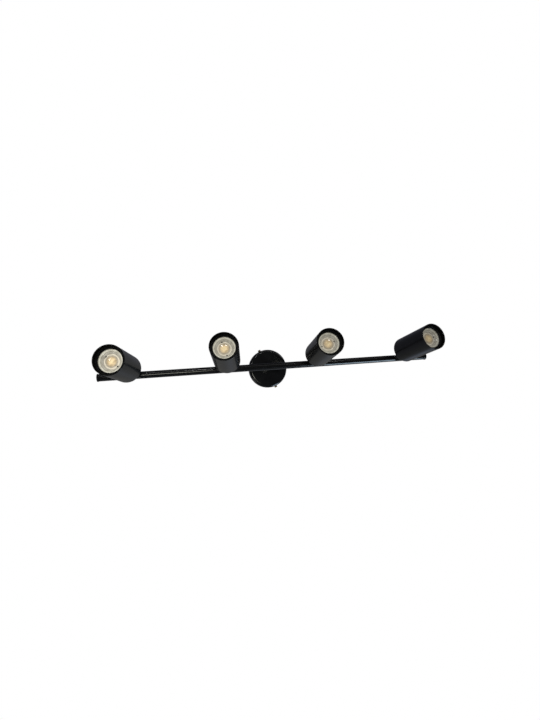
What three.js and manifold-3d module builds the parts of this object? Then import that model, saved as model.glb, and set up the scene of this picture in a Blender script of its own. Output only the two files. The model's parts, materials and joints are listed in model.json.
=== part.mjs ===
// Four-light ceiling spot bar: a round canopy, a short stem, a tube bar and four swivelling lamp heads.
// Millimetres, +Z up. The origin is the centre of the ceiling face, and the bar lies along X below it.

import * as THREE from 'three';
import { mergeVertices } from 'three/addons/utils/BufferGeometryUtils.js';
import Module from 'manifold-3d';

const wasm = await Module();
wasm.setup();

// ---------- driving dimensions ----------

const GAP = 0.3;                 // left between pieces that touch
const CANOPY_RADIUS = 50;
const CANOPY_HEIGHT = 20;
const CANOPY_WALL = 1.2;
const CANOPY_EDGE = 7;           // radius of the canopy's rounded lower edge
const SCREW_DEPTH = 7.5;         // side screws, below the ceiling
const BRACKET_TURN = -111;       // degrees from the bar to the line of the side screws

const BAR_DROP = 112;            // ceiling to bar axis
const BAR_RADIUS = 8;
const BAR_WALL = 1;
const BAR_LENGTH = 784;
const STEM_RADIUS = 6.5;

const HEAD_SPACING = 208;
const HEAD_SWIVELS = [-49, -30, -15, 35];        // degrees about Z, from square to the bar
const HEAD_LEANS = [9.6, 13.4, 9.4, 12.8];       // degrees that each shade leans back

const PIVOT_DROP = 18;           // bar axis to tilt pin
const LUG_RADIUS = 4.2;
const LUG_OFFSET = 20;           // tilt pin to shade axis
const REAR_DROP = 7;             // tilt pin to the shade's rear face

const SHADE_RADIUS = 30;
const SHADE_LENGTH = 107;
const SHADE_WALL = 1.1;
const SHADE_EDGE = 4.5;
const LENS_DEPTH = 11.5;         // shade mouth to lens
const LENS_RADIUS = 22.8;
const LAMP_RADIUS = 25;

const COLOURS = {
  black: { color: 0x1b1b1d, roughness: 0.42, metalness: 0.55 },
  steel: { color: 0x9a9ca0, roughness: 0.35, metalness: 0.95 },
  brass: { color: 0xb08b45, roughness: 0.35, metalness: 0.9 },
  plastic: { color: 0x222224, roughness: 0.6, metalness: 0 },
  ceramic: { color: 0xe6e1d6, roughness: 0.7, metalness: 0 },
  lampBody: { color: 0xd9d8d4, roughness: 0.5, metalness: 0.1 },
  lens: { color: 0xf0e2c4, roughness: 0.15, metalness: 0 },
};

// ---------- solids ----------

// A geometry with position only, shared vertices merged and zero-width triangles left out.
function weld(geometry) {
  const bare = new THREE.BufferGeometry();
  bare.setAttribute('position', geometry.getAttribute('position'));
  if (geometry.index) bare.setIndex(geometry.index);
  const merged = mergeVertices(bare, 1e-4);
  const corners = merged.index.array;
  const kept = [];
  for (let i = 0; i < corners.length; i += 3) {
    const [a, b, c] = [corners[i], corners[i + 1], corners[i + 2]];
    if (a !== b && b !== c && c !== a) kept.push(a, b, c);
  }
  merged.setIndex(kept);
  return merged;
}

function toSolid(geometry) {
  const mesh = weld(geometry);
  const vertProperties = new Float32Array(mesh.getAttribute('position').array);
  const triVerts = new Uint32Array(mesh.index.array);
  return new wasm.Manifold(new wasm.Mesh({ numProp: 3, vertProperties, triVerts }));
}

function toGeometry(solid) {
  const { vertProperties, triVerts } = solid.getMesh();
  const geometry = new THREE.BufferGeometry();
  geometry.setAttribute('position', new THREE.BufferAttribute(vertProperties, 3));
  geometry.setIndex(new THREE.BufferAttribute(triVerts, 1));
  geometry.computeVertexNormals();
  return geometry;
}

const join = (...geometries) => toGeometry(geometries.map(toSolid).reduce((all, next) => all.add(next)));

const cut = (geometry, ...tools) =>
  toGeometry(tools.reduce((rest, tool) => rest.subtract(toSolid(tool)), toSolid(geometry)));

// Turns an outline of [radius, height] points, listed bottom to top up the outside, about Z.
function turned(outline, sides = 24) {
  const points = outline.map(([radius, height]) => new THREE.Vector2(radius, height));
  return new THREE.LatheGeometry(points, sides).rotateX(Math.PI / 2);
}

const rod = (radius, low, high, sides = 12) =>
  turned([[0, low], [radius, low], [radius, high], [0, high]], sides);

const ring = (inner, outer, low, high, sides = 24) =>
  turned([[inner, low], [outer, low], [outer, high], [inner, high], [inner, low]], sides);

const box = (sizes, centre) => new THREE.BoxGeometry(...sizes).translate(...centre);

const alongX = (geometry) => geometry.rotateY(Math.PI / 2);

// Extrudes a shape drawn in (across, up) to a thickness along X, from a start.
function plateAcrossX(shape, start, thickness) {
  const plate = new THREE.ExtrudeGeometry(shape, { depth: thickness, bevelEnabled: false, curveSegments: 7 });
  return plate.rotateX(Math.PI / 2).rotateZ(Math.PI / 2).translate(start, 0, 0);
}

// Points of a quarter turn about a centre, between two angles in degrees.
function arc(centre, radius, from, to, steps = 4) {
  return Array.from({ length: steps + 1 }, (_, i) => {
    const angle = THREE.MathUtils.degToRad(from + ((to - from) * i) / steps);
    return [centre[0] + radius * Math.cos(angle), centre[1] + radius * Math.sin(angle)];
  });
}

function part(name, colour, geometry) {
  const mesh = new THREE.Mesh(geometry, new THREE.MeshStandardMaterial(COLOURS[colour]));
  mesh.name = name;
  return mesh;
}

function group(...members) {
  const made = new THREE.Group();
  made.add(...members);
  return made;
}

// ---------- ceiling end ----------

const NIPPLE_RADIUS = 4.9;
const STEM_BORE = 5.2;
const SIDE_SCREW_RADIUS = 1.9;
const SIDE_SCREW_HEAD = 3.6;
const SCREW_CLEARANCE = 0.4;
const EARTH_X = 10;              // bracket's centre to its earth screw
const TAB_REACH = 46;            // centre line to the outside of each bracket tab

function canopy() {
  const innerRadius = CANOPY_RADIUS - CANOPY_WALL;
  const bendRadius = CANOPY_RADIUS - CANOPY_EDGE;
  const bendHeight = CANOPY_EDGE - CANOPY_HEIGHT;
  const cup = turned([
    [STEM_BORE, -CANOPY_HEIGHT],
    ...arc([bendRadius, bendHeight], CANOPY_EDGE, -90, 0),
    [CANOPY_RADIUS, 0],
    [innerRadius, 0],
    ...arc([bendRadius, bendHeight], CANOPY_EDGE - CANOPY_WALL, 0, -90),
    [STEM_BORE, CANOPY_WALL - CANOPY_HEIGHT],
    [STEM_BORE, -CANOPY_HEIGHT],
  ], 40);
  const screwHoles = alongX(rod(SIDE_SCREW_RADIUS + SCREW_CLEARANCE, -CANOPY_RADIUS - 5, CANOPY_RADIUS + 5));
  return cut(cup, screwHoles.rotateZ(THREE.MathUtils.degToRad(BRACKET_TURN)).translate(0, 0, -SCREW_DEPTH));
}

// A strip that is screwed to the ceiling, with an end tab turned down for each side screw.
function ceilingBracket() {
  const sheet = 2;
  const width = 18;
  const tabDepth = 13;
  const slotOffset = 26;
  const inside = TAB_REACH - sheet;
  const profile = new THREE.Shape([
    [-TAB_REACH, 0], [-TAB_REACH, -tabDepth], [-inside, -tabDepth], [-inside, -sheet],
    [inside, -sheet], [inside, -tabDepth], [TAB_REACH, -tabDepth], [TAB_REACH, 0],
  ].map(([x, z]) => new THREE.Vector2(x, z)));
  const strip = new THREE.ExtrudeGeometry(profile, { depth: width, bevelEnabled: false })
    .rotateX(Math.PI / 2).translate(0, width / 2, 0);
  const slots = [-slotOffset, slotOffset].map((x) => box([16, 5.2, 3 * sheet], [x, 0, -sheet / 2]));
  const screwHoles = alongX(rod(SIDE_SCREW_RADIUS + GAP, -TAB_REACH - 5, TAB_REACH + 5));
  const earthHole = rod(SIDE_SCREW_RADIUS + GAP, -2 * sheet, sheet).translate(EARTH_X, 0, 0);
  return cut(strip, ...slots, screwHoles.translate(0, 0, -SCREW_DEPTH), earthHole);
}

function earthScrew() {
  const shank = SIDE_SCREW_RADIUS;
  const headRadius = 3.8;
  const headTop = -2 - GAP;
  const headBase = headTop - 2.5;
  return turned([
    [0, headBase], [headRadius, headBase], [headRadius, headTop], [shank, headTop], [shank, -0.4], [0, -0.4],
  ], 12);
}

// Lies along X: shank in the bracket tab, round head outside the canopy.
function sideScrew() {
  const head = CANOPY_RADIUS + GAP;
  const end = head + 4;
  const chamfer = 0.6;
  return alongX(turned([
    [0, TAB_REACH - 4], [SIDE_SCREW_RADIUS, TAB_REACH - 4],
    [SIDE_SCREW_RADIUS, head], [SIDE_SCREW_HEAD, head],
    [SIDE_SCREW_HEAD, end - chamfer], [SIDE_SCREW_HEAD - chamfer, end], [0, end],
  ], 16)).translate(0, 0, -SCREW_DEPTH);
}

function terminalBlock() {
  const floor = CANOPY_WALL - CANOPY_HEIGHT + GAP;
  const [length, width, height] = [30, 12, 11];
  const poleSpacing = 9.6;
  const offset = 24;             // canopy's centre to the block
  const wells = [-1, 0, 1].flatMap((step) => [
    rod(2.2, floor + height - 4, floor + height + 1, 8).translate(step * poleSpacing, offset, 0),
    rod(1.8, -width, width, 8).rotateX(Math.PI / 2).translate(step * poleSpacing, offset, floor + 3.5),
  ]);
  return cut(box([length, width, height], [0, offset, floor + height / 2]), ...wells);
}

// Hollow threaded tube that carries the stem and the wires through the canopy.
const nipple = () => ring(3.5, NIPPLE_RADIUS, -42, -11, 16);

function flangeNut() {
  const floor = CANOPY_WALL - CANOPY_HEIGHT + GAP;
  const hexRadius = 8;
  const flangeRadius = 10;
  const hex = rod(hexRadius, floor + 0.5, floor + 4, 6);
  const flange = rod(flangeRadius, floor, floor + 1, 20);
  return cut(join(hex, flange), rod(NIPPLE_RADIUS + 0.2, floor - 1, floor + 5, 16));
}

function stem() {
  const tube = ring(STEM_BORE, STEM_RADIUS, -BAR_DROP + 4, -CANOPY_HEIGHT - GAP, 20);
  return cut(tube, alongX(rod(BAR_RADIUS + GAP, -20, 20, 28)).translate(0, 0, -BAR_DROP));
}

// ---------- bar ----------

const STUD_RADIUS = 3.9;
const STUD_HOLE = STUD_RADIUS + GAP;
const headPlaces = HEAD_SWIVELS.map((_, i) => (i - (HEAD_SWIVELS.length - 1) / 2) * HEAD_SPACING);

function bar() {
  const half = BAR_LENGTH / 2;
  const tube = alongX(ring(BAR_RADIUS - BAR_WALL, BAR_RADIUS, -half, half, 28));
  const studHoles = headPlaces.map((x) => rod(STUD_HOLE, -2 * BAR_RADIUS, 0, 16).translate(x, 0, 0));
  return cut(tube, rod(STEM_BORE - 1, 0, 2 * BAR_RADIUS, 16), ...studHoles);
}

// Plug and flange along +X, starting at the end of the tube.
function endCap() {
  const plug = BAR_RADIUS - BAR_WALL - GAP;
  const flange = BAR_RADIUS + 0.8;
  const thickness = 3;
  return alongX(turned([
    [0, -12], [plug - 0.8, -12], [plug, -11], [plug, GAP], [flange, GAP], [flange, thickness - 1],
    [flange - 1, thickness], [0, thickness],
  ], 28)).translate(BAR_LENGTH / 2, 0, 0);
}

// ---------- swivel, one per head; the origin is the bar's axis ----------

const SEAT_RADIUS = 7;
const SEAT_BASE = -BAR_RADIUS - 1.3;
const DISC_RADIUS = 6;
const DISC_TOP = SEAT_BASE - GAP;
const DISC_BASE = DISC_TOP - 1.6;
const PIN_RADIUS = 1.9;
const PIN_HOLE = PIN_RADIUS + 0.25;
const TONGUE_HALF = 2.9;
const EAR_INNER = TONGUE_HALF + GAP;
const EAR_OUTER = EAR_INNER + 2.2;
const CLIP_HEIGHT = -3.5;
const GROOVE_RADIUS = STUD_RADIUS - 0.7;
const WIRE_BORE = 2.3;

// Saddle that fits the underside of the bar and stays still.
function swivelSeat() {
  const boss = rod(SEAT_RADIUS, SEAT_BASE, CLIP_HEIGHT, 20);
  return cut(boss, alongX(rod(BAR_RADIUS + GAP, -20, 20, 28)), rod(STUD_HOLE, -20, 0, 16));
}

// An ear or tongue: a tab with a round end about the tilt pin, drawn in (across, up).
function lugShape(end) {
  const shape = new THREE.Shape();
  const up = end > 0;
  shape.moveTo(up ? LUG_RADIUS : -LUG_RADIUS, end);
  shape.lineTo(up ? -LUG_RADIUS : LUG_RADIUS, end);
  shape.absarc(0, 0, LUG_RADIUS, up ? Math.PI : 0, up ? 2 * Math.PI : Math.PI, false);
  shape.closePath();
  return shape;
}

const pinHole = () => alongX(rod(PIN_HOLE, -20, 20));

// Hollow stud, disc and two ears in one casting.
function swivelFork() {
  const stud = turned([
    [WIRE_BORE, DISC_BASE], [DISC_RADIUS, DISC_BASE], [DISC_RADIUS, DISC_TOP], [STUD_RADIUS, DISC_TOP],
    [STUD_RADIUS, CLIP_HEIGHT - 0.7], [GROOVE_RADIUS, CLIP_HEIGHT - 0.7], [GROOVE_RADIUS, CLIP_HEIGHT + 0.7],
    [STUD_RADIUS, CLIP_HEIGHT + 0.7], [STUD_RADIUS, -1.5], [WIRE_BORE, -1.5], [WIRE_BORE, DISC_BASE],
  ], 16);
  const ear = lugShape(PIVOT_DROP + DISC_TOP - 0.6);
  const ears = [-EAR_OUTER, EAR_INNER].map((start) =>
    plateAcrossX(ear, start, EAR_OUTER - EAR_INNER).translate(0, 0, -PIVOT_DROP));
  return cut(join(stud, ...ears), pinHole().translate(0, 0, -PIVOT_DROP));
}

// Retaining ring in the stud's groove, above the seat.
const swivelClip = () => ring(GROOVE_RADIUS + 0.2, 5.4, CLIP_HEIGHT - 0.4, CLIP_HEIGHT + 0.4, 14);

// Screw along X through both ears and the shade's tongue.
function tiltScrew() {
  const ears = EAR_OUTER + GAP;
  const headRadius = 3.6;
  const headEnd = -ears - 2;
  const tip = ears + 2.6;
  return alongX(turned([
    [0, headEnd], [headRadius - 0.7, headEnd], [headRadius, headEnd + 0.6],
    [headRadius, -ears], [PIN_RADIUS, -ears], [PIN_RADIUS, tip], [0, tip],
  ], 12)).translate(0, 0, -PIVOT_DROP);
}

function tiltNut() {
  const start = EAR_OUTER + GAP;
  const hexRadius = 3.7;
  const hex = rod(hexRadius, start, start + 2, 6);
  return alongX(cut(hex, rod(PIN_HOLE, 0, 20))).translate(0, 0, -PIVOT_DROP);
}

// ---------- lamp head; depths are measured from the shade's rear face, and become -Z ----------

const LENS_FACE = SHADE_LENGTH - LENS_DEPTH;
const LAMP_BASE = 46;
const PIN_SPREAD = 5;            // lamp pin to lamp axis
const LAMP_PIN_RADIUS = 2.4;
const LAMP_PIN_LENGTH = 7.5;
const HOLDER_RADIUS = 13;
const LAMP_RIM = LENS_FACE - 0.7;
const POCKET_FLOOR = LAMP_RIM - 2.2;

// Turns an outline of [radius, depth] points, listed rear to front, about the head's axis.
const turnedDown = (outline, sides) =>
  turned(outline.map(([radius, depth]) => [radius, -depth]).reverse(), sides);

function shade() {
  const inner = SHADE_RADIUS - SHADE_WALL;
  const bendRadius = SHADE_RADIUS - SHADE_EDGE;
  const innerBend = SHADE_EDGE - SHADE_WALL;
  const shell = turnedDown([
    [0, 0],
    ...arc([bendRadius, SHADE_EDGE], SHADE_EDGE, -90, 0, 3),
    [SHADE_RADIUS, SHADE_LENGTH],
    [inner, SHADE_LENGTH],
    ...arc([bendRadius, SHADE_EDGE], innerBend, 0, -90, 3),
    [0, SHADE_WALL],
  ], 32);
  const slot = box([2 * (TONGUE_HALF + GAP), 2 * (LUG_RADIUS + GAP), 4], [0, LUG_OFFSET, -SHADE_WALL / 2]);
  return cut(shell, slot);
}

// Tongue through the slot in the shade's rear, with a flange inside. The origin is the tilt pin.
function shadeLug() {
  const flangeTop = REAR_DROP + SHADE_WALL + GAP;
  const flangeDepth = 2;
  const flangeWidth = 14;
  const inward = 9;              // reach of the flange towards the shade's axis
  const tongue = plateAcrossX(lugShape(-flangeTop - 1), -TONGUE_HALF, 2 * TONGUE_HALF);
  const flange = box(
    [flangeWidth, inward + LUG_RADIUS, flangeDepth],
    [0, (LUG_RADIUS - inward) / 2, -flangeTop - flangeDepth / 2],
  );
  return cut(join(tongue, flange), pinHole());
}

// U-shaped strap from the shade's rear wall to both sides of the lamp holder.
function holderBracket() {
  const sheet = 1.2;
  const inside = HOLDER_RADIUS + 0.4;
  const outside = inside + sheet;
  const base = SHADE_WALL + GAP;
  const reach = 40;
  const width = 12;
  const profile = new THREE.Shape([
    [-outside, -base], [-outside, -reach], [-inside, -reach], [-inside, -base - sheet],
    [inside, -base - sheet], [inside, -reach], [outside, -reach], [outside, -base],
  ].map(([x, z]) => new THREE.Vector2(x, z)));
  return new THREE.ExtrudeGeometry(profile, { depth: width, bevelEnabled: false })
    .rotateX(Math.PI / 2).translate(0, width / 2, 0);
}

function lampHolder() {
  const rear = 26;
  const front = LAMP_BASE - 0.5;
  const body = turnedDown([
    [0, rear], [HOLDER_RADIUS - 1, rear], [HOLDER_RADIUS, rear + 1], [HOLDER_RADIUS, front], [0, front],
  ], 20);
  const socketEnd = LAMP_BASE - LAMP_PIN_LENGTH - 1;
  const sockets = [-PIN_SPREAD, PIN_SPREAD].map((x) =>
    rod(LAMP_PIN_RADIUS + 0.5, -front - 1, -socketEnd, 10).translate(x, 0, 0));
  return cut(body, ...sockets);
}

function lampBody() {
  const pocket = LENS_RADIUS + GAP;
  const body = turnedDown([
    [0, LAMP_BASE], [12.2, LAMP_BASE], [13, 48], [13.5, 62], [17, 70], [23.5, 84], [LAMP_RADIUS, 88],
    [LAMP_RADIUS, LAMP_RIM], [pocket, LAMP_RIM], [pocket, POCKET_FLOOR], [0, POCKET_FLOOR],
  ], 24);
  const pins = [-PIN_SPREAD, PIN_SPREAD].map((x) =>
    rod(LAMP_PIN_RADIUS, -LAMP_BASE - 1, LAMP_PIN_LENGTH - LAMP_BASE, 10).translate(x, 0, 0));
  return join(body, ...pins);
}

function lampLens() {
  const rear = POCKET_FLOOR + GAP;
  const chamfer = 0.7;
  return turnedDown([
    [0, rear], [LENS_RADIUS, rear], [LENS_RADIUS, LENS_FACE - chamfer], [LENS_RADIUS - chamfer, LENS_FACE],
    [0, LENS_FACE],
  ], 24);
}

// Hides the gap between the lamp and the shade.
function baffleRing() {
  const rear = LENS_FACE + 0.6;
  const thickness = 1.6;
  const outer = SHADE_RADIUS - SHADE_WALL - GAP;
  return ring(LENS_RADIUS - 0.6, outer, -rear - thickness, -rear, 28);
}

// ---------- assembly ----------

function ceilingEnd() {
  const bracket = group(
    part('ceiling_bracket', 'steel', ceilingBracket()),
    part('earth_screw', 'brass', earthScrew().translate(EARTH_X, 0, 0)),
    part('side_screw_1', 'brass', sideScrew()),
    part('side_screw_2', 'brass', sideScrew().rotateZ(Math.PI)),
    part('terminal_block', 'ceramic', terminalBlock()),
  );
  bracket.rotation.z = THREE.MathUtils.degToRad(BRACKET_TURN);
  return group(
    bracket,
    part('canopy', 'black', canopy()),
    part('stem_nipple', 'steel', nipple()),
    part('stem_nut', 'steel', flangeNut()),
    part('stem_tube', 'black', stem()),
  );
}

function barAssembly() {
  const made = group(
    part('bar_tube', 'black', bar()),
    part('end_cap_right', 'plastic', endCap()),
    part('end_cap_left', 'plastic', endCap().rotateZ(Math.PI)),
  );
  made.position.z = -BAR_DROP;
  return made;
}

function lampHead(number) {
  const inside = group(
    part(`shade_${number}`, 'black', shade()),
    part(`holder_bracket_${number}`, 'steel', holderBracket()),
    part(`lamp_holder_${number}`, 'ceramic', lampHolder()),
    part(`lamp_body_${number}`, 'lampBody', lampBody()),
    part(`lamp_lens_${number}`, 'lens', lampLens()),
    part(`baffle_ring_${number}`, 'plastic', baffleRing()),
  );
  inside.position.set(0, -LUG_OFFSET, -REAR_DROP);
  const head = group(inside, part(`shade_lug_${number}`, 'black', shadeLug()));
  head.position.z = -PIVOT_DROP;
  head.rotation.x = -THREE.MathUtils.degToRad(HEAD_LEANS[number - 1]);
  return head;
}

function headUnit(number) {
  const turning = group(
    part(`swivel_fork_${number}`, 'black', swivelFork()),
    part(`swivel_clip_${number}`, 'steel', swivelClip()),
    part(`tilt_screw_${number}`, 'black', tiltScrew()),
    part(`tilt_nut_${number}`, 'black', tiltNut()),
    lampHead(number),
  );
  turning.rotation.z = THREE.MathUtils.degToRad(HEAD_SWIVELS[number - 1]);
  const unit = group(part(`swivel_seat_${number}`, 'black', swivelSeat()), turning);
  unit.position.set(headPlaces[number - 1], 0, -BAR_DROP);
  return unit;
}

const fixture = group(ceilingEnd(), barAssembly(), ...HEAD_SWIVELS.map((_, i) => headUnit(i + 1)));

export default fixture;
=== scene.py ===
"""Looks of a ceiling spot bar: canopy, stem, tube bar and four lamp heads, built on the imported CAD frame.

Every piece is drawn in millimetres in the frame of the sub-assembly that it belongs to, then placed in metres.
"""

import json
import math

import bmesh
import bpy
from mathutils import Matrix, Vector


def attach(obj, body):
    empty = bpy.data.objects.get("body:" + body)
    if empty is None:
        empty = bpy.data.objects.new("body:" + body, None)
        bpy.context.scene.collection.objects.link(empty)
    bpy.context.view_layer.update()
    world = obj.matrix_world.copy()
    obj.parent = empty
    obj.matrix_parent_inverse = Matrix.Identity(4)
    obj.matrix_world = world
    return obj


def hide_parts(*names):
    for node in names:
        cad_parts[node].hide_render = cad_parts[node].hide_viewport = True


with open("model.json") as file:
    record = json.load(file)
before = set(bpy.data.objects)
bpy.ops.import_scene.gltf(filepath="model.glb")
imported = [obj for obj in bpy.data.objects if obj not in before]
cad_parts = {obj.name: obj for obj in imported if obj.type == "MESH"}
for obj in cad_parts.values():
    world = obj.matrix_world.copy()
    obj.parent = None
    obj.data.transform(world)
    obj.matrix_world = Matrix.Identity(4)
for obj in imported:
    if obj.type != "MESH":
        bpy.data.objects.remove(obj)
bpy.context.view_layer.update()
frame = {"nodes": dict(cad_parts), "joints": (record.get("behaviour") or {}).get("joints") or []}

# ---------- sizes, in millimetres, the same as the CAD's ----------

GAP = 0.3
CANOPY_RADIUS = 50
CANOPY_HEIGHT = 20
CANOPY_WALL = 1.2
CANOPY_EDGE = 7
SCREW_DEPTH = 7.5
BRACKET_TURN = -111
TAB_REACH = 46
STEM_RADIUS = 6.5
NIPPLE_RADIUS = 4.9

BAR_DROP = 112
BAR_RADIUS = 8
BAR_LENGTH = 784
STUD_RADIUS = 3.9

PIVOT_DROP = 18
LUG_RADIUS = 4.2
LUG_OFFSET = 20
REAR_DROP = 7
FORWARD_LIMIT = 75

SHADE_RADIUS = 30
SHADE_LENGTH = 107
SHADE_WALL = 1.1
SHADE_EDGE = 4.5
LENS_FACE = SHADE_LENGTH - 11.5
LENS_RADIUS = 22.8
LAMP_RADIUS = 25
LAMP_BASE = 46

HEADS = (1, 2, 3, 4)
JOINTS = {joint["name"]: joint for joint in frame["joints"]}

# ---------- placing ----------

MILLIMETRES = Matrix.Scale(0.001, 4)


def turn(degrees, axis):
    return Matrix.Rotation(math.radians(degrees), 4, axis)


def shift(x, y, z):
    return Matrix.Translation((x, y, z))


ROOT = MILLIMETRES
BAR = MILLIMETRES @ shift(0, 0, -BAR_DROP)
BRACKET = MILLIMETRES @ turn(BRACKET_TURN, "Z")


def swivel_frame(number):
    """Origin on the bar's axis, X along the tilt screw, Z up."""
    place = Vector(JOINTS[f"swivel_turn_{number}"]["pos_m"])
    across = Vector(JOINTS[f"head_tilt_{number}"]["axis"])
    square = Vector((0, 0, 1)).cross(across)
    axes = Matrix((across, square, (0, 0, 1))).transposed().to_4x4()
    return Matrix.Translation(place) @ axes @ MILLIMETRES


def pivot_frame(number):
    """Origin on the tilt screw, leaning with the shade."""
    lean = JOINTS[f"head_tilt_{number}"]["range_deg"][1] - FORWARD_LIMIT
    return swivel_frame(number) @ shift(0, 0, -PIVOT_DROP) @ turn(-lean, "X")


def shade_frame(number):
    """Origin at the centre of the shade's rear face, with the mouth towards -Z."""
    return pivot_frame(number) @ shift(0, -LUG_OFFSET, -REAR_DROP)


# ---------- shapes ----------


def rounded(corners, steps=5):
    """The points of an outline of (x, y, radius) corners, with an arc where the radius isn't zero."""
    points = []
    for i, (x, y, radius) in enumerate(corners):
        here = Vector((x, y))
        if not radius:
            points.append(here)
            continue
        before = (Vector(corners[i - 1][:2]) - here).normalized()
        after = (Vector(corners[(i + 1) % len(corners)][:2]) - here).normalized()
        half = before.angle(after) / 2
        centre = here + (before + after).normalized() * (radius / math.sin(half))
        spoke = here + before * (radius / math.tan(half)) - centre
        sweep = math.copysign(math.pi - 2 * half, before.y * after.x - before.x * after.y)
        for step in range(steps + 1):
            points.append(centre + Matrix.Rotation(sweep * step / steps, 2) @ spoke)
    return points


def lathe(outline, sides=96):
    """Turns an outline of (radius, height) points about Z. An end on the axis closes to a point or a flat face."""
    shape = bmesh.new()
    closed = outline[0][0] > 1e-6
    flat_start = not closed and abs(outline[0][1] - outline[1][1]) < 1e-6
    flat_end = not closed and abs(outline[-1][1] - outline[-2][1]) < 1e-6
    outline = outline[int(flat_start):len(outline) - int(flat_end)]
    rings = []
    for radius, height in outline:
        if radius < 1e-6:
            rings.append([shape.verts.new((0, 0, height))] * sides)
            continue
        angles = [2 * math.pi * i / sides for i in range(sides)]
        rings.append([shape.verts.new((radius * math.cos(a), radius * math.sin(a), height)) for a in angles])
    pairs = list(zip(rings, rings[1:]))
    if closed:
        pairs.append((rings[-1], rings[0]))
    for low, high in pairs:
        for i in range(sides):
            j = (i + 1) % sides
            corners = [low[i], low[j], high[j], high[i]]
            unique = [v for k, v in enumerate(corners) if v not in corners[:k]]
            if len(unique) > 2:
                shape.faces.new(unique)
    if flat_start:
        shape.faces.new(rings[0])
    if flat_end:
        shape.faces.new(rings[-1])
    bmesh.ops.recalc_face_normals(shape, faces=shape.faces)
    return shape


def prism(points, low, high, round_edges=0.0):
    """Raises a flat outline of (x, y) points from one height to another, with its rims rounded."""
    shape = bmesh.new()
    bottom = [shape.verts.new((x, y, low)) for x, y in points]
    top = [shape.verts.new((x, y, high)) for x, y in points]
    rims = [shape.faces.new(bottom), shape.faces.new(top)]
    for i in range(len(points)):
        j = (i + 1) % len(points)
        shape.faces.new([bottom[i], bottom[j], top[j], top[i]])
    bmesh.ops.recalc_face_normals(shape, faces=shape.faces)
    if round_edges:
        edges = list({edge for face in rims for edge in face.edges})
        bmesh.ops.bevel(shape, geom=edges, offset=round_edges, segments=2, affect="EDGES", profile=0.5)
    return shape


def block(sizes, centre, round_edges=0.4):
    """A box whose twelve edges are rounded."""
    shape = bmesh.new()
    bmesh.ops.create_cube(shape, size=1, matrix=Matrix.Translation(centre) @ Matrix.Diagonal((*sizes, 1)))
    if round_edges:
        bmesh.ops.bevel(shape, geom=shape.edges[:], offset=round_edges, segments=2, affect="EDGES", profile=0.5)
    return shape


def moved(shape, matrix):
    shape.transform(matrix)
    return shape


ALONG_X = Matrix.Rotation(math.pi / 2, 4, "Y")
ALONG_Y = Matrix.Rotation(-math.pi / 2, 4, "X")


def gathered(*shapes):
    """One bmesh of several."""
    whole = bmesh.new()
    for shape in shapes:
        mesh = bpy.data.meshes.new("gathered")
        shape.to_mesh(mesh)
        whole.from_mesh(mesh)
        bpy.data.meshes.remove(mesh)
        shape.free()
    return whole


def to_object(name, shape):
    mesh = bpy.data.meshes.new(name)
    shape.to_mesh(mesh)
    shape.free()
    made = bpy.data.objects.new(name, mesh)
    bpy.context.scene.collection.objects.link(made)
    return made


def carved(shape, *cutters):
    """The shape with each cutter taken out of it."""
    target = to_object("carved", shape)
    tools = [to_object("cutter", cutter) for cutter in cutters]
    for tool in tools:
        cut = target.modifiers.new("cut", "BOOLEAN")
        cut.object = tool
        cut.operation = "DIFFERENCE"
        cut.solver = "EXACT"
    evaluated = target.evaluated_get(bpy.context.evaluated_depsgraph_get())
    result = bmesh.new()
    result.from_mesh(evaluated.to_mesh())
    evaluated.to_mesh_clear()
    for spent in (target, *tools):
        mesh = spent.data
        bpy.data.objects.remove(spent)
        bpy.data.meshes.remove(mesh)
    return result


def piece(name, body, place, shape, finish, stands_for=(), sharp=32):
    """A finished piece: placed in metres, shaded smooth between sharp edges, and riding on its body."""
    made = to_object(name, shape)
    made.data.transform(place)
    made.data.materials.append(finish)
    made.data.shade_smooth()
    made.data.set_sharp_from_angle(angle=math.radians(sharp))
    normals = made.modifiers.new("even shading", "WEIGHTED_NORMAL")
    normals.keep_sharp = True
    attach(made, body)
    if stands_for:
        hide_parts(*stands_for)
    return made


# ---------- materials ----------


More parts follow.
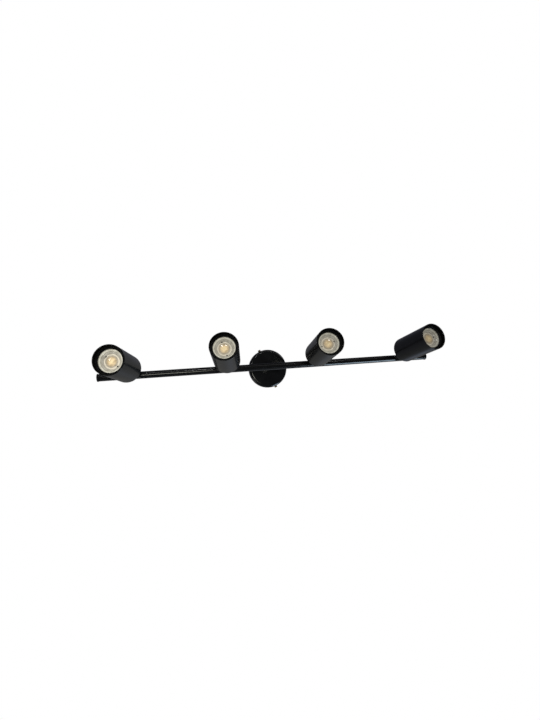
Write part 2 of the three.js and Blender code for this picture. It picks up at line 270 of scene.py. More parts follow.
class Finish:
    """A Principled material whose colour, roughness and relief come from procedural patterns on the piece."""

    def __init__(self, name, metallic=0.0, specular=0.5):
        self.material = bpy.data.materials.new(name)
        self.material.use_nodes = True
        self.nodes = self.material.node_tree.nodes
        self.links = self.material.node_tree.links
        self.shader = self.nodes["Principled BSDF"]
        self.shader.inputs["Metallic"].default_value = metallic
        self.shader.inputs["Specular IOR Level"].default_value = specular
        self.place = self.nodes.new("ShaderNodeTexCoord").outputs["Object"]

    def node(self, kind, **inputs):
        made = self.nodes.new(kind)
        for key, value in inputs.items():
            made.inputs[key.replace("_", " ")].default_value = value
        return made

    def noise(self, size, detail):
        """Noise with features about size metres across."""
        made = self.node("ShaderNodeTexNoise", Scale=1 / size, Detail=detail)
        self.links.new(self.place, made.inputs["Vector"])
        return made.outputs["Fac"]

    def spots(self, size):
        made = self.node("ShaderNodeTexVoronoi", Scale=1 / size)
        self.links.new(self.place, made.inputs["Vector"])
        return made.outputs["Distance"]

    def ramp(self, source, *stops):
        made = self.nodes.new("ShaderNodeValToRGB")
        while len(made.color_ramp.elements) < len(stops):
            made.color_ramp.elements.new(0.5)
        for element, (position, colour) in zip(made.color_ramp.elements, stops):
            element.position = position
            element.color = (*colour, 1)
        self.links.new(source, made.inputs["Fac"])
        return made.outputs["Color"]

    def spread(self, source, low, high):
        """Stretches the middle of a pattern over the range from low to high."""
        made = self.node("ShaderNodeMapRange", From_Min=0.3, From_Max=0.7, To_Min=low, To_Max=high)
        self.links.new(source, made.inputs["Value"])
        return made.outputs["Result"]

    def attribute(self, name):
        made = self.nodes.new("ShaderNodeAttribute")
        made.attribute_name = name
        return made.outputs["Fac"]

    def colour(self, source):
        self.links.new(source, self.shader.inputs["Base Color"])

    def roughness(self, source):
        self.links.new(source, self.shader.inputs["Roughness"])

    def relief(self, source, depth):
        """Bumps of about depth metres."""
        made = self.node("ShaderNodeBump", Distance=depth)
        self.links.new(source, made.inputs["Height"])
        self.links.new(made.outputs["Normal"], self.shader.inputs["Normal"])


def powder_coat(name, low, high, roughness, grain_depth, specular=0.5):
    """Painted steel: a fine orange peel, faint cloudiness and a slightly uneven sheen."""
    finish = Finish(name, specular=specular)
    finish.colour(finish.ramp(finish.noise(0.012, 4), (0.35, low), (0.65, high)))
    finish.roughness(finish.spread(finish.noise(0.02, 5), roughness - 0.04, roughness + 0.05))
    finish.relief(finish.noise(0.0009, 2), grain_depth)
    return finish.material


def moulded_plastic(name, low, high, roughness):
    """Moulded plastic: a fine spark-eroded texture."""
    finish = Finish(name, specular=0.45)
    finish.colour(finish.ramp(finish.noise(0.006, 3), (0.35, low), (0.65, high)))
    finish.roughness(finish.spread(finish.noise(0.001, 3), roughness - 0.05, roughness + 0.06))
    finish.relief(finish.spots(0.0004), 0.00001)
    return finish.material


def turned_brass():
    finish = Finish("turned_brass", metallic=1.0)
    finish.colour(finish.ramp(finish.noise(0.002, 4), (0.3, (0.24, 0.18, 0.085)), (0.7, (0.38, 0.29, 0.14))))
    finish.roughness(finish.spread(finish.noise(0.0008, 3), 0.3, 0.45))
    finish.relief(finish.noise(0.0003, 2), 0.000006)
    return finish.material


def zinc_plate():
    """Bright zinc with a faint spangle and handling marks."""
    finish = Finish("zinc_plate", metallic=1.0)
    finish.colour(finish.ramp(finish.spots(0.004), (0.1, (0.42, 0.44, 0.47)), (0.9, (0.66, 0.67, 0.68))))
    finish.roughness(finish.spread(finish.noise(0.003, 6), 0.26, 0.46))
    finish.relief(finish.noise(0.0006, 4), 0.00001)
    return finish.material


def ceramic():
    finish = Finish("ceramic", specular=0.4)
    finish.colour(finish.ramp(finish.noise(0.0008, 5), (0.25, (0.6, 0.56, 0.48)), (0.55, (0.82, 0.79, 0.72))))
    finish.roughness(finish.spread(finish.noise(0.002, 4), 0.55, 0.75))
    finish.relief(finish.noise(0.0004, 4), 0.00003)
    return finish.material


def paint_lamp_face_light(finish, patches, *stops):
    """Paints light on a finish as an emission, by the distance from the lamp's axis and a strength set for each
    lamp, slightly patchy; it stands in for the light on the lamp faces.
    """
    painted_light = finish.ramp(finish.attribute("radial"), *stops)
    patchy = finish.ramp(patches, (0.36, (0.66, 0.65, 0.62)), (0.6, (1, 1, 1)))
    mix = finish.nodes.new("ShaderNodeMix")
    mix.data_type = "RGBA"
    mix.blend_type = "MULTIPLY"
    mix.inputs["Factor"].default_value = 1
    finish.links.new(painted_light, mix.inputs["A"])
    finish.links.new(patchy, mix.inputs["B"])
    finish.links.new(mix.outputs["Result"], finish.shader.inputs["Emission Color"])
    finish.links.new(finish.attribute("painted_light"), finish.shader.inputs["Emission Strength"])


def reflector_silver():
    """Metallised plastic with painted light: an emission paints a bright rim, a greyer cone and a bright inner
    edge.
    """
    finish = Finish("reflector_silver", specular=0.6)
    finish.colour(finish.ramp(finish.noise(0.003, 2), (0.3, (0.2, 0.19, 0.16)), (0.7, (0.32, 0.31, 0.28))))
    paint_lamp_face_light(
        finish,
        finish.noise(0.007, 3),
        (0.58, (0.8, 0.72, 0.56)),
        (0.62, (0.7, 0.65, 0.53)),
        (0.67, (0.3, 0.28, 0.23)),
        (0.78, (0.42, 0.4, 0.34)),
        (0.85, (0.28, 0.26, 0.2)),
        (0.89, (0.68, 0.66, 0.55)),
        (1.0, (0.6, 0.58, 0.48)),
    )
    finish.roughness(finish.spread(finish.noise(0.006, 3), 0.16, 0.24))
    return finish.material


def lamp_optic():
    """The clear bulge over the LED, with painted light: an emission, warm in the middle and paler towards its edge.
    """
    finish = Finish("lamp_optic", specular=0.6)
    finish.colour(finish.ramp(finish.spots(0.0016), (0.2, (0.3, 0.24, 0.14)), (0.8, (0.22, 0.15, 0.07))))
    paint_lamp_face_light(
        finish,
        finish.noise(0.006, 2),
        (0.0, (1.0, 0.84, 0.5)),
        (0.35, (0.96, 0.74, 0.42)),
        (0.64, (0.63, 0.5, 0.31)),
        (0.8, (0.38, 0.335, 0.26)),
        (0.9, (0.45, 0.42, 0.35)),
        (1.0, (0.75, 0.7, 0.57)),
    )
    finish.roughness(finish.spread(finish.noise(0.001, 3), 0.05, 0.1))
    return finish.material


def clear_cover():
    """Thin clear cover with faint moulding rings."""
    finish = Finish("clear_cover", specular=0.6)
    finish.colour(finish.ramp(finish.noise(0.01, 2), (0.3, (0.9, 0.88, 0.82)), (0.7, (0.96, 0.95, 0.9))))
    finish.roughness(finish.spread(finish.noise(0.004, 3), 0.04, 0.1))
    finish.shader.inputs["Alpha"].default_value = 0.07
    return finish.material


# painted light: one black paint in two copies; the shades' copy is lighter in colour than the one for the canopy,
# stem, bar and swivels, to paint how much lighter the shades look
BLACK = powder_coat("satin_black_painted_darker", (0.0045, 0.0045, 0.0048), (0.007, 0.007, 0.0073), 0.17, 0.0000015)
SHADE = powder_coat("shade_black_painted_lighter", (0.009, 0.009, 0.0096), (0.0125, 0.0125, 0.0132), 0.21, 0.000004)
# painted shadow: the inner finish is far darker in colour than the outer paint, to paint the shadow inside the
# lampshade; its dullness is the inner finish's own
INSIDE_FINISH_PAINTED_SHADOW = powder_coat("shade_inside_painted_shadow", (0.0015, 0.0015, 0.0016), (0.0025, 0.0025, 0.0026), 0.6, 0.00001, 0.12)
PLASTIC = moulded_plastic("black_plastic", (0.006, 0.006, 0.006), (0.01, 0.01, 0.01), 0.45)
WHITE_PLASTIC = moulded_plastic("lamp_plastic", (0.72, 0.71, 0.68), (0.8, 0.79, 0.77), 0.4)
BRASS = turned_brass()
ZINC = zinc_plate()
CERAMIC = ceramic()
REFLECTOR = reflector_silver()
OPTIC = lamp_optic()
COVER = clear_cover()

# ---------- ceiling end ----------


def canopy_shape():
    """A spun cup with a rounded lower edge, a turned-in rim and a hole for each side screw."""
    inner = CANOPY_RADIUS - CANOPY_WALL
    bore = NIPPLE_RADIUS + GAP
    cup = lathe(rounded([
        (bore, -CANOPY_HEIGHT, 0.2),
        (CANOPY_RADIUS, -CANOPY_HEIGHT, CANOPY_EDGE),
        (CANOPY_RADIUS, 0, 0.4),
        (inner, 0, 0.4),
        (inner, CANOPY_WALL - CANOPY_HEIGHT, CANOPY_EDGE - CANOPY_WALL),
        (bore, CANOPY_WALL - CANOPY_HEIGHT, 0.2),
    ], 8), 144)
    drill = lathe([(0, -60), (2.3, -60), (2.3, 60), (0, 60)], 32)
    return carved(cup, moved(drill, turn(BRACKET_TURN, "Z") @ shift(0, 0, -SCREW_DEPTH) @ ALONG_X))


def thumb_screw_shape():
    """Shank in the bracket's tab, and a knurled head with a slot and a turned shoulder."""
    head = CANOPY_RADIUS + GAP
    grooves = 22
    outline = []
    for i in range(2 * grooves):
        radius = 3.6 if i % 2 else 3.3
        angle = math.pi * i / grooves
        outline.append((radius * math.cos(angle), radius * math.sin(angle)))
    knurl = prism(outline, head + 0.8, head + 3.7, 0.25)
    slot = block((0.9, 9, 1.6), (0, 0, head + 3.7), 0)
    shank = lathe(rounded([
        (0, TAB_REACH - 4, 0), (1.9, TAB_REACH - 4, 0.4), (1.9, head, 0), (3.1, head, 0.2), (3.1, head + 1.2, 0),
        (0, head + 1.2, 0),
    ]), 40)
    return moved(gathered(carved(knurl, slot), shank), shift(0, 0, -SCREW_DEPTH) @ ALONG_X)


def bracket_shape():
    """A folded strip with rounded bends, two slots, an earth hole and a threaded hole in each tab."""
    sheet, width, depth = 2, 18, 13
    inside = TAB_REACH - sheet
    side = rounded([
        (-TAB_REACH, 0, 2.4), (-TAB_REACH, -depth, 0.3), (-inside, -depth, 0.3), (-inside, -sheet, 0.4),
        (inside, -sheet, 0.4), (inside, -depth, 0.3), (TAB_REACH, -depth, 0.3), (TAB_REACH, 0, 2.4),
    ], 4)
    strip = moved(prism(side, -width / 2, width / 2, 0.25), turn(90, "X"))
    slots = [
        prism(rounded([(x - 8, -2.6, 2.55), (x + 8, -2.6, 2.55), (x + 8, 2.6, 2.55), (x - 8, 2.6, 2.55)], 6), -4, 2)
        for x in (-26, 26)
    ]
    earth_hole = moved(lathe([(0, -5), (2.2, -5), (2.2, 5), (0, 5)], 32), shift(10, 0, 0))
    tab_holes = moved(lathe([(0, -60), (2.2, -60), (2.2, 60), (0, 60)], 32), shift(0, 0, -SCREW_DEPTH) @ ALONG_X)
    return carved(strip, *slots, earth_hole, tab_holes)


def slotted_screw_shape(radius, top, thickness, shank, shank_length):
    """A pan-head screw, head up to a height, with a slot across it."""
    head = lathe(rounded([
        (0, top - thickness, 0), (radius, top - thickness, 0.15), (radius, top, thickness * 0.45), (0, top, 0),
    ]), 36)
    slot = block((radius * 0.3, radius * 2.4, thickness), (0, 0, top), 0)
    body = lathe(rounded([
        (0, top - thickness - shank_length, 0), (shank, top - thickness - shank_length, 0.3),
        (shank, top - thickness, 0), (0, top - thickness, 0),
    ]), 24)
    return gathered(carved(head, slot), body)


def terminal_shapes():
    """A three-pole strip: a rounded base with a pair of screw towers for each pole, and the screws."""
    floor = CANOPY_WALL - CANOPY_HEIGHT + GAP
    base = block((30, 12, 7), (0, 24, floor + 3.5), 0.8)
    mouths = [
        moved(lathe([(0, -10), (1.9, -10), (1.9, 10), (0, 10)], 24), shift(x, 24, floor + 3.4) @ ALONG_Y)
        for x in (-9.6, 0, 9.6)
    ]
    towers, screws = [], []
    for x in (-9.6, 0, 9.6):
        for y in (-3, 3):
            place = shift(x, 24 + y, 0)
            towers.append(moved(lathe(rounded([
                (1.9, floor + 6.5, 0), (2.7, floor + 6.5, 0), (2.7, floor + 11, 0.3), (1.9, floor + 11, 0.2),
            ]), 32), place))
            screws.append(moved(slotted_screw_shape(1.8, floor + 9.4, 1.4, 1.2, 2), place))
    return gathered(carved(base, *mouths), *towers), gathered(*screws)


def thread_shape(inner, outer, low, high, pitch=1.0):
    """A hollow tube with a ridge at each pitch."""
    outline = [(inner, low), (outer - 0.3, low)]
    turns = int((high - low) / pitch)
    for i in range(turns):
        outline.append((outer, low + (i + 0.45) * pitch))
        outline.append((outer - 0.5, low + (i + 0.95) * pitch))
    outline += [(outer - 0.3, high), (inner, high)]
    return lathe([Vector(point) for point in outline], 40)


def hexagon(radius):
    return [(radius * math.cos(math.pi * i / 3), radius * math.sin(math.pi * i / 3)) for i in range(6)]


def nut_shape(across_corners, low, high, bore):
    """A hexagon with its corners turned off at both faces."""
    hole = lathe([(0, low - 1), (bore, low - 1), (bore, high + 1), (0, high + 1)], 32)
    return carved(prism(hexagon(across_corners / 2), low, high, 0.4), hole)


def make_ceiling_end():
    piece("canopy_shell", "root", ROOT, canopy_shape(), BLACK, ["canopy"])
    for number, half_turn in ((1, 0), (2, 180)):
        piece(f"thumb_screw_{number}", "root", BRACKET @ turn(half_turn, "Z"), thumb_screw_shape(), BRASS,
              [f"side_screw_{number}"])
    piece("bracket_strip", "root", BRACKET, bracket_shape(), ZINC, ["ceiling_bracket"])
    earth = moved(slotted_screw_shape(3.8, 4.8, 2.5, 1.9, 1.8), Matrix.Scale(-1, 4, (0, 0, 1)))
    bmesh.ops.reverse_faces(earth, faces=earth.faces)
    piece("earth_terminal", "root", BRACKET @ shift(10, 0, 0), earth, BRASS, ["earth_screw"])
    strip, screws = terminal_shapes()
    piece("terminal_strip", "root", BRACKET, strip, CERAMIC, ["terminal_block"])
    piece("terminal_screws", "root", BRACKET, screws, BRASS, ())
    thread = thread_shape(3.5, NIPPLE_RADIUS, -42, -11)
    piece("stem_thread", "root", ROOT, thread, ZINC, ["stem_nipple"])
    floor = CANOPY_WALL - CANOPY_HEIGHT + GAP
    flange = lathe(rounded([(5.1, floor, 0), (10, floor, 0.3), (10, floor + 1, 0.3), (5.1, floor + 1, 0)]), 64)
    nut = gathered(flange, nut_shape(16, floor + 0.8, floor + 4, 5.1))
    piece("stem_locknut", "root", ROOT, nut, ZINC, ["stem_nut"])


# ---------- stem and bar ----------


def stem_shape():
    """A tube whose lower end is saddled to the bar."""
    bore = NIPPLE_RADIUS + GAP
    top = -CANOPY_HEIGHT - GAP
    tube = lathe(rounded([
        (bore, -BAR_DROP + 4, 0), (STEM_RADIUS, -BAR_DROP + 4, 0), (STEM_RADIUS, top, 0.5), (bore, top, 0.2),
    ]), 64)
    saddle = lathe([(0, -20), (BAR_RADIUS + 0.15, -20), (BAR_RADIUS + 0.15, 20), (0, 20)], 96)
    return carved(tube, moved(saddle, shift(0, 0, -BAR_DROP) @ ALONG_X))


def weld_shape():
    """A smooth bead where the stem meets the bar, following the saddle's curve."""
    bead = bmesh.new()
    around, section = 96, 12
    rings = []
    for i in range(around):
        angle = 2 * math.pi * i / around
        x, y = STEM_RADIUS * math.cos(angle), STEM_RADIUS * math.sin(angle)
        centre = Vector((x, y, math.sqrt(BAR_RADIUS**2 - y * y)))
        outward = Vector((math.cos(angle), math.sin(angle), 0))
        ripple = 0.9 + 0.06 * math.sin(26 * angle)
        ring = []
        for k in range(section):
            spin = 2 * math.pi * k / section
            offset = outward * math.cos(spin) + Vector((0, 0, math.sin(spin)))
            ring.append(bead.verts.new(centre + offset * ripple))
        rings.append(ring)
    for i in range(around):
        here, there = rings[i], rings[(i + 1) % around]
        for k in range(section):
            n = (k + 1) % section
            bead.faces.new([here[k], there[k], there[n], here[n]])
    bmesh.ops.recalc_face_normals(bead, faces=bead.faces)
    return bead


def bar_shape():
    half = BAR_LENGTH / 2
    inner = BAR_RADIUS - 1
    tube = lathe(rounded([
        (inner, -half, 0.1), (BAR_RADIUS, -half, 0.3), (BAR_RADIUS, half, 0.3), (inner, half, 0.1),
    ]))
    drill = lathe([(0, -20), (STUD_RADIUS + GAP, -20), (STUD_RADIUS + GAP, 0), (0, 0)], 40)
    holes = []
    for number in HEADS:
        x = 1000 * JOINTS[f"swivel_turn_{number}"]["pos_m"][0]
        holes.append(moved(drill.copy(), shift(x, 0, 0)))
    drill.free()
    return carved(moved(tube, ALONG_X), *holes)


def end_cap_shape():
    """A moulded plug with a flange and a domed face."""
    flange = BAR_RADIUS + 0.8
    return lathe(rounded([
        (0, -12, 0), (5.9, -12, 0.3), (6.7, -11, 0.2), (6.7, 0.3, 0), (flange, 0.3, 0.3), (flange, 2.6, 0.9),
        (0, 3, 0),
    ]), 80)


def make_bar():
    piece("stem_shaft", "root", ROOT, stem_shape(), BLACK, ["stem_tube"])
    piece("stem_weld", "root", BAR, weld_shape(), BLACK, (), sharp=80)
    piece("bar_body", "root", BAR, bar_shape(), BLACK, ["bar_tube"])
    for side, half_turn in (("right", 0), ("left", 180)):
        place = BAR @ turn(half_turn, "Z") @ shift(BAR_LENGTH / 2, 0, 0) @ ALONG_X
        piece(f"bar_cap_{side}", "root", place, end_cap_shape(), PLASTIC, [f"end_cap_{side}"])


# ---------- swivels ----------

SEAT_BASE = -BAR_RADIUS - 1.3
DISC_TOP = SEAT_BASE - GAP
EAR_INNER = 3.2
EAR_OUTER = 5.4
CLIP_HEIGHT = -3.5


def seat_shape():
    boss = lathe(rounded([(0, SEAT_BASE, 0), (7, SEAT_BASE, 0.4), (7, CLIP_HEIGHT, 0), (0, CLIP_HEIGHT, 0)]), 64)
    bar = moved(lathe([(0, -20), (BAR_RADIUS + 0.1, -20), (BAR_RADIUS + 0.1, 20), (0, 20)]), ALONG_X)
    bore = lathe([(0, -20), (STUD_RADIUS + GAP, -20), (STUD_RADIUS + GAP, 0), (0, 0)], 40)
    return carved(boss, bar, bore)


def tab_outline(end):
    """A tab with a round end about the tilt screw, running up to a height."""
    points = [(LUG_RADIUS, end), (-LUG_RADIUS, end)]
    for i in range(25):
        angle = math.pi + math.pi * i / 24
        points.append((LUG_RADIUS * math.cos(angle), LUG_RADIUS * math.sin(angle)))
    return points


def pin_bore():
    return moved(lathe([(0, -20), (2.15, -20), (2.15, 20), (0, 20)], 36), ALONG_X)


ACROSS_X = turn(90, "Z") @ turn(90, "X")


def fork_shape():
    """Hollow stud and disc, with two ears that carry the tilt screw."""
    groove = STUD_RADIUS - 0.7
    stud = lathe(rounded([
        (2.3, DISC_TOP - 1.6, 0), (6, DISC_TOP - 1.6, 0.4), (6, DISC_TOP, 0.3), (STUD_RADIUS, DISC_TOP, 0.2),
        (STUD_RADIUS, CLIP_HEIGHT - 0.7, 0), (groove, CLIP_HEIGHT - 0.7, 0), (groove, CLIP_HEIGHT + 0.7, 0),
        (STUD_RADIUS, CLIP_HEIGHT + 0.7, 0), (STUD_RADIUS, -1.5, 0.4), (2.3, -1.5, 0),
    ]), 56)
    ears = []
    for low, high in ((-EAR_OUTER, -EAR_INNER), (EAR_INNER, EAR_OUTER)):
        ear = moved(prism(tab_outline(PIVOT_DROP + DISC_TOP - 0.6), low, high, 0.35), ACROSS_X)
        ears.append(moved(carved(ear, pin_bore()), shift(0, 0, -PIVOT_DROP)))
    return gathered(stud, *ears)


def tilt_screw_shape():
    """A pan head with a hexagon socket, and its shank."""
    head = EAR_OUTER + GAP
    dome = lathe(rounded([(0, head, 0), (3.6, head, 0.15), (3.6, head + 2, 1.1), (0, head + 2, 0)]), 48)
    socket = prism(hexagon(1.35), head + 0.8, head + 4)
    shank = lathe(rounded([(0, -head - 2.6, 0), (1.9, -head - 2.6, 0.4), (1.9, head, 0), (0, head, 0)]), 32)
    return moved(gathered(carved(dome, socket), shank), shift(0, 0, -PIVOT_DROP) @ turn(180, "Z") @ ALONG_X)


def tilt_nut_shape():
    start = EAR_OUTER + GAP
    return moved(nut_shape(7.4, start, start + 2, 2.1), shift(0, 0, -PIVOT_DROP) @ ALONG_X)


def make_swivel(number):
    place, body = swivel_frame(number), f"swivel_{number}"
    fixed = BAR @ shift(1000 * JOINTS[f"swivel_turn_{number}"]["pos_m"][0], 0, 0)
    piece(f"seat_{number}", "root", fixed, seat_shape(), BLACK, [f"swivel_seat_{number}"])
    piece(f"fork_{number}", body, place, fork_shape(), BLACK, [f"swivel_fork_{number}"])
    piece(f"pivot_screw_{number}", body, place, tilt_screw_shape(), BLACK, [f"tilt_screw_{number}"])
    piece(f"pivot_nut_{number}", body, place, tilt_nut_shape(), BLACK, [f"tilt_nut_{number}"])


# ---------- lamp heads; depths are measured from the shade's rear face ----------


def lathe_down(corners, sides=96, steps=5):
    """Turns an outline of (radius, depth, rounding) corners about the head's axis."""
    return lathe([Vector((x, -y)) for x, y in rounded(corners, steps)], sides)


def shade_shape():
    """A drawn cylinder with a rounded rear edge, a rolled front rim and a slot for the lug."""
    inner = SHADE_RADIUS - SHADE_WALL
    shell = lathe_down([
        (0, 0, 0), (SHADE_RADIUS, 0, SHADE_EDGE), (SHADE_RADIUS, SHADE_LENGTH, 0.5), (inner, SHADE_LENGTH, 0.5),
        (inner, SHADE_WALL, SHADE_EDGE - SHADE_WALL), (0, SHADE_WALL, 0),
    ], 144, 8)
    slot = block((6.4, 9, 4), (0, LUG_OFFSET, -SHADE_WALL / 2), 0)
    return carved(shell, slot)


def lug_shape():
    """A tongue that comes through the shade's rear, with a flange inside."""
    top = REAR_DROP + SHADE_WALL + GAP
    tongue = moved(prism(tab_outline(-top - 1)[::-1], -2.9, 2.9, 0.35), ACROSS_X)
    flange = block((14, 9 + LUG_RADIUS, 2), (0, (LUG_RADIUS - 9) / 2, -top - 1), 0.4)
    return gathered(carved(tongue, pin_bore()), flange)


def baffle_shape():
    """A stepped ring in front of the lamp, with fine grooves against glare."""
    rear = LENS_FACE + 0.6
    outer = SHADE_RADIUS - SHADE_WALL - GAP
    inner = LENS_RADIUS
    corners = [(inner, rear, 0.1), (outer, rear, 0), (outer, rear + 1.6, 0.2)]
    for i in range(4):
        radius = outer - 1.2 - i * 1.1
        corners += [(radius, rear + 1.6, 0), (radius - 0.3, rear + 1.1, 0), (radius - 0.7, rear + 1.6, 0)]
    corners += [(inner, rear + 1.6, 0.3)]
    return lathe_down(corners, 96, 3)


def housing_shape():
    """The lamp's housing: base, tapered body and rim, with its two pins."""
    rim = LENS_FACE - 0.7
    shell = lathe_down([
        (0, LAMP_BASE, 0), (12.6, LAMP_BASE, 0.8), (13.5, 62, 4), (17, 70, 6), (23.5, 84, 5), (LAMP_RADIUS, 88, 1),
        (LAMP_RADIUS, rim, 0.5), (LENS_RADIUS + GAP, rim, 0.2), (LENS_RADIUS + GAP, rim - 3, 0),
        (7, rim - 13, 0), (0, rim - 13, 0),
    ], 96)
    pins = []
    for x in (-5, 5):
        pins.append(moved(lathe(rounded([
            (0, -LAMP_BASE - 1, 0), (1.5, -LAMP_BASE - 1, 0), (1.5, -42, 0), (2.4, -42, 0.2), (2.4, -38.5, 0.5),
            (0, -38.5, 0),
        ]), 24), shift(x, 0, 0)))
    return gathered(shell, *pins)


OPTIC_RADIUS = 13
OPTIC_TOP = 5                    # lens face to the top of the clear bulge
OPTIC_SWELL = 1.3                # height of the bulge
DISH_DEPTH = 7.6                 # lens face to the bottom of the reflector's cone
FACE_SCREW_PLACE = 15.2          # radius at which the two small screws sit
FACE_SCREW_RADIUS = 1.8
LAMP_TURNS = (-87, 104, -184, -49)
# painted light: the strength of each lamp's emission, falling from the first lamp to the fourth as the light on the
# lamp faces falls off
LAMP_PAINTED_LIGHT_STRENGTHS = (1.06, 0.85, 0.64, 0.4)


def reflector_shape():
    """A dish: a flat rim that the painted light makes bright, a step, a shallow cone in rounded steps, and a raised
    edge at the bulge.
    """
    face = LENS_FACE - 1.6
    bottom = LENS_FACE - DISH_DEPTH
    steps, fine = 3, 6
    corners = [Vector((OPTIC_RADIUS + 0.2, -bottom)), Vector((OPTIC_RADIUS + 0.5, -bottom - 0.9))]
    start, end = OPTIC_RADIUS + 1.3, 0.86 * LENS_RADIUS
    for i in range(steps * fine + 1):
        share = i / (steps * fine)
        swell = 0.25 * abs(math.sin(math.pi * share * steps))
        corners.append(Vector((start + (end - start) * share, -(bottom + (face - 0.7 - bottom) * share + swell))))
    corners += [Vector((0.885 * LENS_RADIUS, -face + 0.1)), Vector((0.9 * LENS_RADIUS, -face))]
    corners.append(Vector((LENS_RADIUS - 0.1, -face)))
    back = [Vector((point.x + 0.1, point.y + 0.4)) for point in reversed(corners)]
    return lathe(corners + back, 96)


def optic_shape():
    """The bulge in front of the LED."""
    top = LENS_FACE - OPTIC_TOP
    base = LENS_FACE - DISH_DEPTH - 0.8
    outline = [(0, base), (OPTIC_RADIUS, base)]
    for i in range(13):
        radius = OPTIC_RADIUS * (1 - i / 12)
        outline.append((radius, top - OPTIC_SWELL * (radius / OPTIC_RADIUS) ** 2))
    return lathe([Vector((x, -y)) for x, y in outline], 72)


def face_screw_shapes():
    """Two small dark screws on opposite sides of the bulge."""
    bottom = LENS_FACE - DISH_DEPTH
    heads = []
    for half_turn in (0, 180):
        head = lathe_down([
            (0, bottom, 0), (FACE_SCREW_RADIUS, bottom, 0), (FACE_SCREW_RADIUS, bottom + 1.7, 0.5),
            (0.5, bottom + 1.7, 0.1), (0.4, bottom + 1.1, 0), (0, bottom + 1.1, 0),
        ], 24)
        heads.append(moved(head, turn(half_turn, "Z") @ shift(FACE_SCREW_PLACE, 0, 0)))
    return gathered(*heads)


def cover_shape():
    """A slightly domed clear disc with moulded rings and a rounded edge."""
    points = [(0, LENS_FACE - 1.4)]
    points.append((LENS_RADIUS, LENS_FACE - 1.4))
    points.append((LENS_RADIUS, LENS_FACE - 0.5))
    rings = 36
    for i in range(rings + 1):
        radius = (LENS_RADIUS - 0.3) * (1 - i / rings)
        ripple = 0.05 * math.cos(radius * 2.4)
        dome = 0.3 * (1 - (radius / LENS_RADIUS) ** 2)
        points.append((max(radius, 0), LENS_FACE - 0.35 + dome + ripple))
    return lathe([Vector((x, -y)) for x, y in points], 96)


def mark_lamp(made, place, radius, painted_light):
    """Stores each point's distance from the lamp's axis, as a share of a radius, and the lamp's strength of painted
    light.
    """
    inverse = place.inverted()
    shares = []
    for vertex in made.data.vertices:
        local = inverse @ vertex.co
        shares.append(min(1.0, math.hypot(local.x, local.y) / radius))
    for name, values in (("radial", shares), ("painted_light", [painted_light] * len(shares))):
        made.data.attributes.new(name, "FLOAT", "POINT").data.foreach_set("value", values)


def paint_shadow_inside(made, place):
    """Gives the faces that look towards the axis the inner finish: duller than the outer paint, and darker, which
    paints the shadow inside the lampshade.
    """
    made.data.materials.append(INSIDE_FINISH_PAINTED_SHADOW)
    inverse = place.inverted()
    for face in made.data.polygons:
        centre = inverse @ face.center
        away = Vector((centre.x, centre.y, 0))
        inward = (inverse.to_3x3() @ face.normal).dot(away) < 0
        in_wall = away.length < SHADE_RADIUS - 0.9 * SHADE_WALL and centre.z < -SHADE_WALL * 0.9
        face.material_index = 1 if inward or in_wall else 0


def make_head(number):
    place, body = shade_frame(number), f"head_{number}"
    shell = piece(f"shade_shell_{number}", body, place, shade_shape(), SHADE, [f"shade_{number}"])
    paint_shadow_inside(shell, place)
    piece(f"lug_{number}", body, pivot_frame(number), lug_shape(), BLACK, [f"shade_lug_{number}"])
    piece(f"baffle_{number}", body, place, baffle_shape(), PLASTIC, [f"baffle_ring_{number}"])
    piece(f"lamp_housing_{number}", body, place, housing_shape(), WHITE_PLASTIC, [f"lamp_body_{number}"])
    dish = piece(f"lamp_reflector_{number}", body, place, reflector_shape(), REFLECTOR, ())
    mark_lamp(dish, place, LENS_RADIUS, LAMP_PAINTED_LIGHT_STRENGTHS[number - 1])
    optic = piece(f"lamp_optic_{number}", body, place, optic_shape(), OPTIC, (), sharp=60)
    mark_lamp(optic, place, OPTIC_RADIUS, LAMP_PAINTED_LIGHT_STRENGTHS[number - 1])
    turned = place @ turn(LAMP_TURNS[number - 1], "Z")
    piece(f"lamp_face_screws_{number}", body, turned, face_screw_shapes(), PLASTIC, ())
    piece(f"lamp_cover_{number}", body, place, cover_shape(), COVER, [f"lamp_lens_{number}"])


# ---------- CAD nodes that stay ----------


def finish_kept_nodes():
    for number in HEADS:
        kept = {"swivel_clip": ZINC, "holder_bracket": ZINC, "lamp_holder": CERAMIC}
        for node, finish in kept.items():
            mesh = frame["nodes"][f"{node}_{number}"].data
            mesh.materials.clear()
            mesh.materials.append(finish)


# ---------- camera, light and floor ----------

CAMERA_PLACE = (-0.1768, 0.0434, -0.9506)
CAMERA_TURNS = (-2.67, 11.13, 3.84)          # degrees about X, Y and Z, from looking straight up
CAMERA_LENS = 18.08
CAMERA_SHIFT = (-0.0011, 0.0115)


def make_camera():
    camera = bpy.data.objects.new("camera", bpy.data.cameras.new("camera"))
    camera.data.sensor_width = 36
    camera.data.lens = CAMERA_LENS
    camera.data.shift_x, camera.data.shift_y = CAMERA_SHIFT
    camera.data.clip_start = 0.01
    about_x, about_y, about_z = (turn(angle, axis) for angle, axis in zip(CAMERA_TURNS, "XYZ"))
    looking_up = turn(180, "X")
    camera.matrix_world = (
        Matrix.Translation(CAMERA_PLACE) @ looking_up @ (about_z @ about_y @ about_x).transposed()
    )
    bpy.context.scene.collection.objects.link(camera)
    bpy.context.scene.camera = camera


def softbox(name, place, width, height, power, colour=(1, 1, 1), aim=(0, 0, -0.15)):
    light = bpy.data.lights.new(name, "AREA")
    light.shape = "RECTANGLE"
    light.size, light.size_y = width, height
    light.energy = power
    light.color = colour
    made = bpy.data.objects.new(name, light)
    made.location = place
    made.rotation_euler = (Vector(aim) - Vector(place)).to_track_quat("-Z", "Y").to_euler()
    made.visible_camera = False
    bpy.context.scene.collection.objects.link(made)


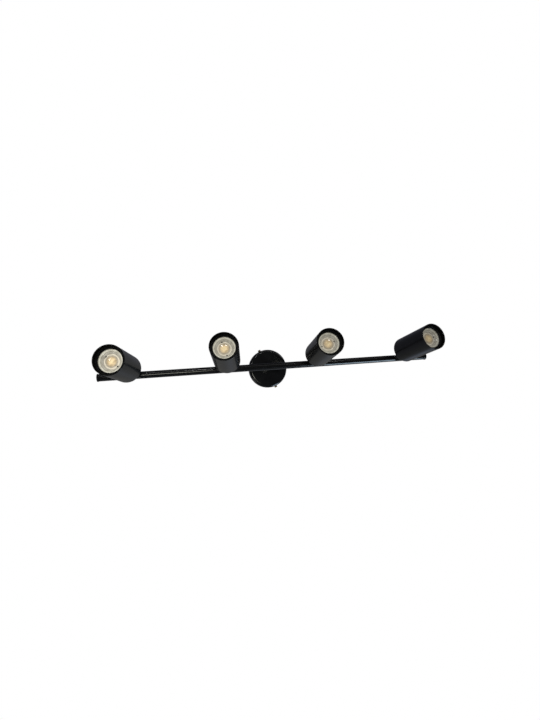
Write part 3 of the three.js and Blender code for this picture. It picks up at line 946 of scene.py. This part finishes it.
BRIGHTEST = (0.3, 0.65, 0.7)                  # direction of the room's brightest part
ROOM_LIGHT = (
    (0.0, (0.085, 0.088, 0.096)),
    (0.4, (0.04, 0.04, 0.045)),
    (0.6, (0.085, 0.09, 0.115)),
    (0.8, (0.15, 0.152, 0.168)),
    (0.9, (0.16, 0.158, 0.148)),
    (0.96, (0.172, 0.172, 0.17)),
    (0.985, (0.2, 0.208, 0.22)),
    (1.0, (0.42, 0.47, 0.58)),
)


def make_world():
    """White behind the object. For light and reflections, a pale ceiling on one side and a dim room below."""
    world = bpy.data.worlds.new("studio")
    bpy.context.scene.world = world
    world.use_nodes = True
    nodes, links = world.node_tree.nodes, world.node_tree.links
    nodes.clear()
    output = nodes.new("ShaderNodeOutputWorld")
    seen, room = nodes.new("ShaderNodeBackground"), nodes.new("ShaderNodeBackground")
    seen.inputs["Color"].default_value = (1, 1, 1, 1)
    towards = nodes.new("ShaderNodeVectorMath")
    towards.operation = "DOT_PRODUCT"
    towards.inputs[1].default_value = Vector(BRIGHTEST).normalized()
    links.new(nodes.new("ShaderNodeTexCoord").outputs["Generated"], towards.inputs[0])
    share = nodes.new("ShaderNodeMapRange")
    share.inputs["From Min"].default_value = -1
    links.new(towards.outputs["Value"], share.inputs["Value"])
    shades = nodes.new("ShaderNodeValToRGB")
    while len(shades.color_ramp.elements) < len(ROOM_LIGHT):
        shades.color_ramp.elements.new(0.5)
    for element, (position, colour) in zip(shades.color_ramp.elements, ROOM_LIGHT):
        element.position = position
        element.color = (*colour, 1)
    links.new(share.outputs["Result"], shades.inputs["Fac"])
    links.new(shades.outputs["Color"], room.inputs["Color"])
    mix = nodes.new("ShaderNodeMixShader")
    links.new(nodes.new("ShaderNodeLightPath").outputs["Is Camera Ray"], mix.inputs["Fac"])
    links.new(room.outputs["Background"], mix.inputs[1])
    links.new(seen.outputs["Background"], mix.inputs[2])
    links.new(mix.outputs["Shader"], output.inputs["Surface"])


FLOOR_LEVEL = -1.8
FLOOR_REACH = 60


def make_floor():
    """A pale floor that the object doesn't pick up as light or as a reflection."""
    corners = [(x * FLOOR_REACH, y * FLOOR_REACH) for x, y in ((-1, -1), (1, -1), (1, 1), (-1, 1))]
    floor = to_object("floor", prism(corners, FLOOR_LEVEL - 0.02, FLOOR_LEVEL))
    finish = Finish("floor_paint", specular=0.2)
    finish.colour(finish.ramp(finish.noise(0.5, 3), (0.3, (0.1, 0.1, 0.1)), (0.7, (0.12, 0.12, 0.12))))
    finish.roughness(finish.spread(finish.noise(0.05, 3), 0.7, 0.85))
    finish.shader.inputs["Emission Color"].default_value = (1, 1, 1, 1)
    finish.shader.inputs["Emission Strength"].default_value = 0.84
    floor.data.materials.append(finish.material)
    floor.visible_diffuse = False
    floor.visible_glossy = False
    floor.visible_transmission = False


LAMP_LEVEL = -1.7
SMALL_LAMPS = ((-1.4, -0.82), (-0.7, -1.41), (-0.17, -1.41), (0.78, -1.23))
SIDE_LIGHTS = {"right_front": (2.6, -2.2, -0.7), "left_back": (-2.6, 2.2, -0.7)}


def make_studio():
    """A cool window, a strip light on the far side, a lamp below, four small lamps and a light at each side."""
    make_world()
    make_floor()
    softbox("window", (1.1, 1.75, -0.6), 0.75, 1.2, 20, (0.66, 0.84, 1))
    softbox("below_left", (-0.36, 0.24, LAMP_LEVEL), 0.45, 0.3, 3.4, (1, 0.99, 0.86), aim=(-0.36, 0.24, 0))
    softbox("far_side", (0, -2, -1.4), 3, 0.6, 2.8)
    for number, (x, y) in enumerate(SMALL_LAMPS):
        softbox(f"small_lamp_{number}", (x, y, LAMP_LEVEL), 0.15, 0.15, 1.5)
    for name, place in SIDE_LIGHTS.items():
        softbox(name, place, 1.2, 2, 8)
    bpy.context.scene.view_settings.view_transform = "Standard"


make_camera()
make_ceiling_end()
make_bar()
for head_number in HEADS:
    make_swivel(head_number)
    make_head(head_number)
finish_kept_nodes()
make_studio()
